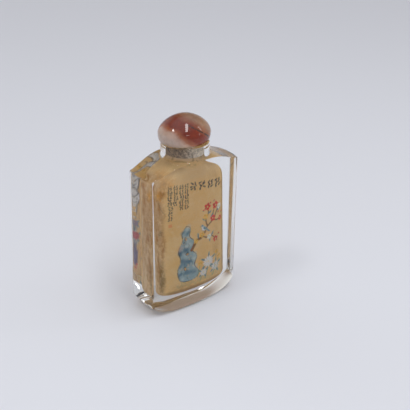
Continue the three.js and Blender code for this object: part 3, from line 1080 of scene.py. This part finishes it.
# the dark vein: how it leans against the bands, its height and where its edge starts to fade
VEIN_LEAN = -0.16
VEIN_HEIGHT = 0.35 * MM
VEIN_EDGE = 0.42 * MM
VEIN_CORE = 0.08 * MM
VEIN_START = 0.8 * MM
AGATE_STOPS = (
    # distance from the middle of the stone in millimetres, colour
    (-7.5, (0.52, 0.40, 0.33)),
    (-5.4, (0.47, 0.32, 0.25)),
    (-4.2, (0.30, 0.10, 0.045)),
    (-2.8, (0.165, 0.017, 0.002)),
    (0.6, (0.16, 0.017, 0.002)),
    (2.2, (0.215, 0.070, 0.032)),
    (3.8, (0.26, 0.145, 0.092)),
    (7.5, (0.28, 0.17, 0.11)),
)


def agate_bands(tree, distance):
    """Colour of the stone at a distance from its middle, across the bands."""
    reach = AGATE_STOPS[-1][0]
    share = map_range(tree, distance, -reach * MM, reach * MM, smooth=False)
    ramp = add_node(tree, "ValToRGB", {"Fac": share})
    stops = ramp.color_ramp.elements
    while len(stops) < len(AGATE_STOPS):
        stops.new(0.5)
    for stop, (place, tone) in zip(stops, AGATE_STOPS):
        stop.position = 0.5 + 0.5 * place / reach
        stop.color = (*tone, 1.0)
    return ramp.outputs["Color"]


def agate_vein(tree, place, height, length_along):
    """Cover of the thin broken vein: 1 on it and 0 beside it."""
    leaning = calculate(tree, "MULTIPLY_ADD", length_along, VEIN_LEAN, height)
    away = calculate(tree, "ABSOLUTE", calculate(tree, "SUBTRACT", leaning, VEIN_HEIGHT))
    line = map_range(tree, away, VEIN_EDGE, VEIN_CORE)
    started = map_range(tree, length_along, VEIN_START, 2 * MM)
    broken = map_range(tree, noise(tree, place, 1.1 * MM), 0.36, 0.5)
    return calculate(tree, "MULTIPLY", calculate(tree, "MULTIPLY", line, started), broken)


def agate_material():
    """Polished agate: milky below, a red-brown band across the middle and clearer brown above."""
    material, tree, shader = new_material("polished_agate")
    place = object_place(tree)
    centre = tuple((STOPPER_LOW + STOPPER_HIGH) / 2)
    height = along(tree, place, BAND_FACING, centre)
    length_along = along(tree, place, BAND_ALONG, centre)
    cloud = calculate(tree, "SUBTRACT", noise(tree, place, 5 * MM), 0.5)
    stone = agate_bands(tree, calculate(tree, "MULTIPLY_ADD", cloud, 2.6 * MM, height))
    fine = map_range(tree, noise(tree, place, 1.6 * MM, 5.0), 0.35, 0.7)
    stone = blend(tree, calculate(tree, "MULTIPLY", fine, 0.28), stone, (0.55, 0.5, 0.5), "MULTIPLY")
    warm = map_range(tree, length_along, 1.5 * MM, 7 * MM)
    stone = blend(tree, warm, stone, (1.4, 1.4, 1.25), "MULTIPLY")
    vein = agate_vein(tree, place, height, length_along)
    stone = blend(tree, vein, stone, (0.045, 0.022, 0.016))
    tree.links.new(stone, shader.inputs["Base Color"])
    shader.inputs["Roughness"].default_value = 0.05
    shader.inputs["IOR"].default_value = 1.54
    shader.inputs["Subsurface Weight"].default_value = 0.3
    shader.inputs["Subsurface Scale"].default_value = 3 * MM
    shader.inputs["Subsurface Radius"].default_value = (1.0, 0.45, 0.3)
    return material


# ---------------------------------------------------------------- operators


def paint_bottle(bottle, wall_start, pigments):
    """Lays the painting on the points of the mesh from the first one of the cavity wall on."""
    paint = {name: under_crystal(getattr(pigments, name)) for name in Pigments.__annotations__}
    points = np.array([point.co for point in bottle.data.vertices[wall_start:]], dtype=float)
    colours = np.ones((len(bottle.data.vertices), 4))
    colours[wall_start:, :3] = paint_wall(points / MM, paint)
    layer = bottle.data.color_attributes.new("painting", "FLOAT_COLOR", "POINT")
    layer.data.foreach_set("color", colours.ravel())


class SNUFF_OT_bottle(bpy.types.Operator):
    """Builds the crystal bottle with its bore, its cavity and the painting on the cavity wall"""

    bl_idname = "snuff.bottle"
    bl_label = "Crystal bottle"

    def execute(self, context):
        sizes, cavity = context.scene.snuff_crystal, context.scene.snuff_cavity
        turns = spread_turns(cavity)
        outside = bottom_rings(turns, sizes, cavity.squareness)
        outside += side_rings(turns, sizes, cavity.squareness)
        outside += shoulder_rings(turns, sizes, cavity.squareness)
        outside += neck_rings(turns, sizes, cavity)
        bore = bore_rings(turns, sizes, cavity)
        widths, heights = even_steps(*cavity_profile(cavity), WALL_SPACING)
        wall = [cavity_ring(turns, cavity, w, h) for w, h in zip(widths, heights)]
        bands = [0] * (len(outside) - 1) + [1] * (len(bore) + 1) + [2] * (len(wall) - 1)
        bottle = mesh_of_rings("crystal_bottle", outside + bore + wall, bands)
        for material in (crystal_material(), bore_material(), painted_material()):
            bottle.data.materials.append(material)
        paint_bottle(bottle, len(turns) * (len(outside) + len(bore)), context.scene.snuff_pigments)
        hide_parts("bottle")
        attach(bottle, "root")
        return {"FINISHED"}


class SNUFF_OT_stopper(bpy.types.Operator):
    """Builds the agate stopper that rests on the lip"""

    bl_idname = "snuff.stopper"
    bl_label = "Agate stopper"

    def execute(self, context):
        sizes = context.scene.snuff_stopper
        centre = (STOPPER_LOW + STOPPER_HIGH) / 2
        half = (STOPPER_HIGH - STOPPER_LOW) / 2
        rim = STOPPER_LOW.z + sizes.rim_height
        dome = STOPPER_HIGH.z - rim
        turns = np.linspace(0, 2 * math.pi, STOPPER_COLUMNS, endpoint=False)
        rings = []

        def add(share, height):
            ring = section(turns, half.x * share, half.y * share, 2, height, centre.x)
            ring[:, 1] += centre.y
            rings.append(ring)

        for bend in np.linspace(math.pi / 2, 0, STOPPER_FOOT_STEPS)[:-1]:
            share = sizes.foot_share + (1 - sizes.foot_share) * math.cos(bend)
            add(share, rim - sizes.rim_height * math.sin(bend))
        for bend in np.linspace(0, math.pi / 2, STOPPER_DOME_STEPS)[:-1]:
            add(math.cos(bend) ** sizes.dome_power, rim + dome * math.sin(bend) ** sizes.dome_power)
        stopper = mesh_of_rings("agate_stopper", rings, [0] * (len(rings) - 1))
        stopper.data.vertices[-1].co.z = STOPPER_HIGH.z
        stopper.data.materials.append(agate_material())
        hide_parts("stopper")
        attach(stopper, "root")
        return {"FINISHED"}


class SNUFF_OT_stage(bpy.types.Operator):
    """Builds the pale floor, the soft lights and the camera"""

    bl_idname = "snuff.stage"
    bl_label = "Stage"

    def execute(self, context):
        scene = context.scene
        build_floor()
        build_lights(scene)
        build_camera(scene)
        return {"FINISHED"}


FLOOR_REACH = 3.0
FLOOR_LEVEL = -0.1 * MM
LAMP_DISTANCE = 0.62
LAMP_TARGET = Vector((0.0, 0.0, 0.065))
# colours of the surround and the direction of its window
TENT_COLOUR = (0.52, 0.532, 0.567)
ZENITH_COLOUR = (1.04, 1.06, 1.11)
ROOM_COLOUR = (0.285, 0.21, 0.155)
WINDOW_COLOUR = (0.80, 0.79, 0.77)
WINDOW_DIRECTION = (-0.2, 0.93, 0.31)
LAMPS = (
    # name, directions of its two ends from the bottle, width in metres, power in watts
    ("strip_lamp", (0.20, -0.08, 0.98), (-0.09, -0.62, 0.79), 0.085, 0.85),
    ("left_lamp", (-0.53, 0.13, 0.84), (-0.63, -0.01, 0.78), 0.08, 0.5),
    ("right_lamp", (0.65, -0.30, 0.69), (0.75, -0.48, 0.46), 0.04, 0.12),
    ("front_lamp", (-0.05, -0.86, 0.50), (-0.22, -0.83, 0.50), 0.06, 0.07),
    ("low_lamp", (0.58, -0.72, 0.36), (0.63, -0.76, 0.18), 0.04, 0.04),
)


def build_floor():
    """A wide plain floor, just under the bottle."""
    mesh = bpy.data.meshes.new("floor")
    sides = ((-1, -1), (1, -1), (1, 1), (-1, 1))
    corners = [(x * FLOOR_REACH, y * FLOOR_REACH, FLOOR_LEVEL) for x, y in sides]
    mesh.from_pydata(corners, [], [(0, 1, 2, 3)])
    floor = bpy.data.objects.new("floor", mesh)
    bpy.context.scene.collection.objects.link(floor)
    material, _, shader = new_material("pale_floor")
    shader.inputs["Base Color"].default_value = (0.72, 0.74, 0.79, 1)
    shader.inputs["Roughness"].default_value = 0.7
    mesh.materials.append(material)


def build_lights(scene):
    """An even pale surround, a soft strip lamp above and a few small lamps that sparkle in the polish."""
    scene.view_settings.view_transform = "Standard"
    build_surround(scene)
    for name, start, end, width, power in LAMPS:
        start, end = LAMP_DISTANCE * Vector(start), LAMP_DISTANCE * Vector(end)
        place = (start + end) / 2
        facing = place.normalized()
        side = (end - start).cross(facing).normalized()
        light = bpy.data.lights.new(name, "AREA")
        light.shape = "RECTANGLE"
        light.size, light.size_y = width, (end - start).length
        light.energy = power
        lamp = bpy.data.objects.new(name, light)
        lamp.matrix_world = Matrix((side, facing.cross(side), facing)).transposed().to_4x4()
        lamp.matrix_world.translation = LAMP_TARGET + place
        scene.collection.objects.link(lamp)


def build_surround(scene):
    """A pale tent, open at the back to a dim brown room with a window low behind."""
    world = bpy.data.worlds.new("studio")
    scene.world = world
    world.use_nodes = True
    tree = world.node_tree
    direction = add_node(tree, "TexCoord").outputs["Generated"]
    height = along(tree, direction, (0.0, 0.0, 1.0))
    above, below = map_range(tree, height, 0.70, 0.95), map_range(tree, height, 0.28, 0.10)
    front = map_range(tree, along(tree, direction, (0.0, 1.0, 0.0)), 0.25, -0.05)
    tent = calculate(tree, "MAXIMUM", calculate(tree, "MAXIMUM", above, below), front)
    sky = blend(tree, tent, ROOM_COLOUR, TENT_COLOUR)
    sky = blend(tree, map_range(tree, height, 0.6, 1.0), sky, ZENITH_COLOUR)
    window = map_range(tree, along(tree, direction, WINDOW_DIRECTION), 0.8, 1.0)
    sky = blend(tree, window, sky, WINDOW_COLOUR)
    tree.links.new(sky, tree.nodes["Background"].inputs["Color"])


def build_camera(scene):
    """The camera, a little above the bottle and to its left."""
    stage = scene.snuff_stage
    turn, tilt, roll = stage.camera_turn, stage.camera_tilt, stage.camera_roll
    back = Vector((-math.sin(turn) * math.cos(tilt), -math.cos(turn) * math.cos(tilt), math.sin(tilt)))
    right = Vector((math.cos(turn), -math.sin(turn), 0.0))
    level, upright = right, back.cross(right)
    right = math.cos(roll) * level + math.sin(roll) * upright
    up = math.cos(roll) * upright - math.sin(roll) * level
    middle = Vector((0, 0, stage.middle))
    eye = middle + back * stage.camera_distance + right * stage.camera_right + up * stage.camera_up
    data = bpy.data.cameras.new("camera")
    data.lens = stage.lens
    data.sensor_width = 36
    data.clip_start = 0.01
    camera = bpy.data.objects.new("camera", data)
    camera.matrix_world = Matrix((right, up, back)).transposed().to_4x4()
    camera.matrix_world.translation = eye
    scene.collection.objects.link(camera)
    scene.camera = camera


class SNUFF_PT_parts(bpy.types.Panel):
    """Lists the pieces of the bottle"""

    bl_idname = "SNUFF_PT_parts"
    bl_label = "Snuff Bottle"
    bl_space_type = "VIEW_3D"
    bl_region_type = "UI"
    bl_category = "Snuff Bottle"

    def draw(self, context):
        for operator in (SNUFF_OT_bottle, SNUFF_OT_stopper, SNUFF_OT_stage):
            self.layout.operator(operator.bl_idname)


SETTINGS = {
    "snuff_crystal": CrystalSizes,
    "snuff_cavity": CavitySizes,
    "snuff_stopper": StopperSizes,
    "snuff_pigments": Pigments,
    "snuff_stage": StageSettings,
}
CLASSES = (*SETTINGS.values(), SNUFF_OT_bottle, SNUFF_OT_stopper, SNUFF_OT_stage, SNUFF_PT_parts)


def register():
    for cls in CLASSES:
        bpy.utils.register_class(cls)
    for name, group in SETTINGS.items():
        setattr(bpy.types.Scene, name, bpy.props.PointerProperty(type=group))


def unregister():
    for name in SETTINGS:
        delattr(bpy.types.Scene, name)
    for cls in reversed(CLASSES):
        bpy.utils.unregister_class(cls)


def main():
    """Builds everything."""
    register()
    bpy.ops.snuff.bottle()
    bpy.ops.snuff.stopper()
    bpy.ops.snuff.stage()


if __name__ == "__main__":
    main()
